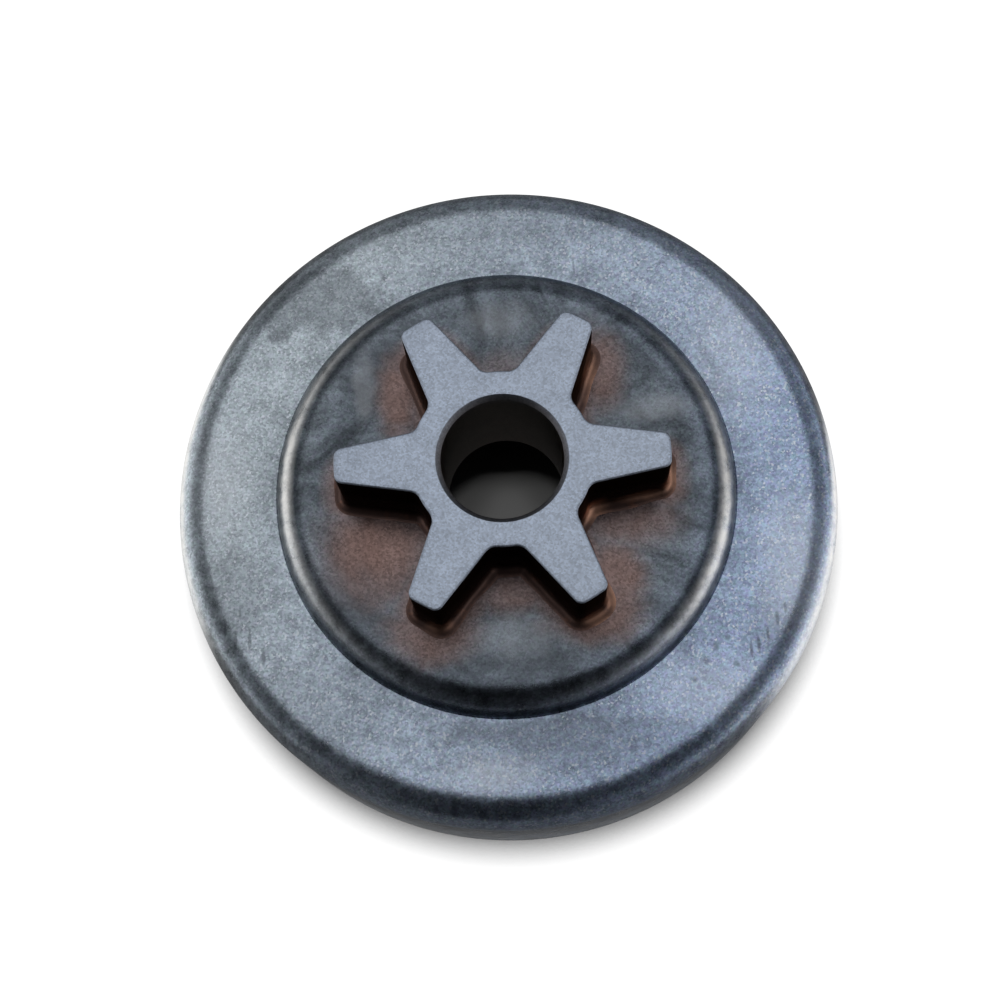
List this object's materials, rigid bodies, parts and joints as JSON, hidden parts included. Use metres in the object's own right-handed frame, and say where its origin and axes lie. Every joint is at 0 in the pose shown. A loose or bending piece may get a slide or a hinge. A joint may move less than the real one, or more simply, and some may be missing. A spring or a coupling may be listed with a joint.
{
  "type": "chainsaw clutch drum",
  "caption": "Pressed steel clutch cup, open below, with a raised round boss and a spur chain sprocket brazed on top, bored through for a needle bearing.",
  "frame": {"origin": "centre of the open rim, on the drum's axis", "axes": "+Z along the drum's axis, from the open rim to the sprocket; +X through the middle of one tooth"},
  "size_m": [0.063, 0.063, 0.0252],
  "materials": {
    "blackened_steel": "heat-blackened, fine grained, stained",
    "hardened_steel": "tumbled grey, dark sides",
    "copper_braze": "dull furnace copper"
  },
  "bodies": {
    "root": {"drum_cup": "blackened_steel", "spur_sprocket": "hardened_steel", "braze_fillet": "copper_braze"}
  },
  "joints": []
}
